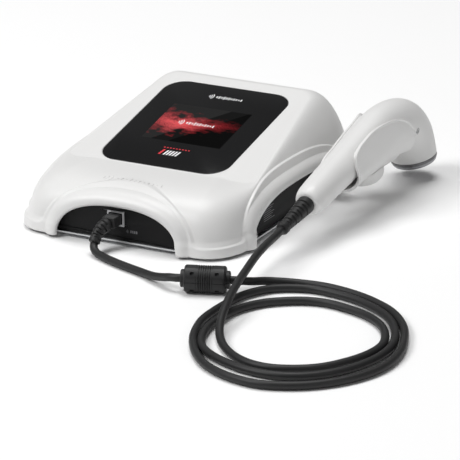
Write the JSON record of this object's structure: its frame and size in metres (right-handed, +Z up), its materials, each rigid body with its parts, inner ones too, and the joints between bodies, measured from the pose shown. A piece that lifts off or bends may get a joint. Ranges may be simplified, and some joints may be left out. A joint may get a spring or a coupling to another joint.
{
  "type": "ultrasound therapy device",
  "caption": "Table-top ultrasound therapy console with a sloping touch screen and a hand applicator in a side holder on a long lead.",
  "frame": {"origin": "middle of the footprint of the console, holder and applicator, on the table", "axes": "+Z up, front and applicator socket towards -Y, holder on the +X side"},
  "size_m": [0.4679, 0.5882, 0.0911],
  "materials": {
    "shell": "white satin moulding",
    "panel": "black satin moulding",
    "glass": "black glossy cover glass",
    "rubber": "matt black",
    "steel": "plain sheet",
    "aluminium": "smooth turned face",
    "board": "green circuit board",
    "component": "black moulding",
    "copper": "bare copper",
    "ceramic": "fired ceramic",
    "ferrite": "sintered ferrite",
    "light": "light grey trim"
  },
  "bodies": {
    "console": {"upper_housing": "shell", "base_plate": "steel", "front_panel": "panel", "left_panel": "panel", "right_panel": "panel", "rear_panel": "panel", "rubber_foot_1": "rubber", "rubber_foot_2": "rubber", "rubber_foot_3": "rubber", "rubber_foot_4": "rubber", "base_screw_1": "steel", "base_screw_2": "steel", "base_screw_3": "steel", "base_screw_4": "steel", "touch_glass": "glass", "screen_gasket": "rubber", "display_module": "component", "display_bracket": "steel", "control_board": "board", "ultrasound_driver_board": "board", "power_supply_board": "board", "heat_sink": "aluminium", "choke_core": "ferrite", "choke_winding": "copper", "speaker": "component", "power_inlet": "panel", "switch_frame": "panel", "fuse_holder": "panel", "fuse_cap": "panel", "applicator_socket": "panel", "socket_bezel": "light", "holder_cradle": "shell", "holder_arm": "shell", "holder_screw_1": "steel", "holder_screw_2": "steel", "applicator_plug": "rubber", "plug_relief": "rubber", "choke_shell_top": "rubber", "choke_shell_bottom": "rubber", "lead_choke_core": "ferrite", "lead_through_choke": "rubber", "cord_lead": "rubber", "cord_main": "rubber"},
    "applicator": {"handset_shell_right": "shell", "handset_shell_left": "shell", "head_ring": "light", "sound_head": "aluminium", "head_seal": "rubber", "piezo_crystal": "ceramic", "contact_ring": "copper", "handset_board": "board", "handset_relief": "rubber"},
    "rocker": {"power_rocker": "panel"}
  },
  "joints": [
    {"name": "applicator_lift", "type": "slide", "parent": "console", "child": "applicator", "axis": [-0.1392, -0.172, 0.9752], "range_m": [0, 0.06]},
    {"name": "power_rocker_hinge", "type": "hinge", "parent": "console", "child": "rocker", "pos_m": [-0.05814, 0.11961, 0.021], "axis": [1, 0, 0], "range_deg": [-18, 0]}
  ]
}
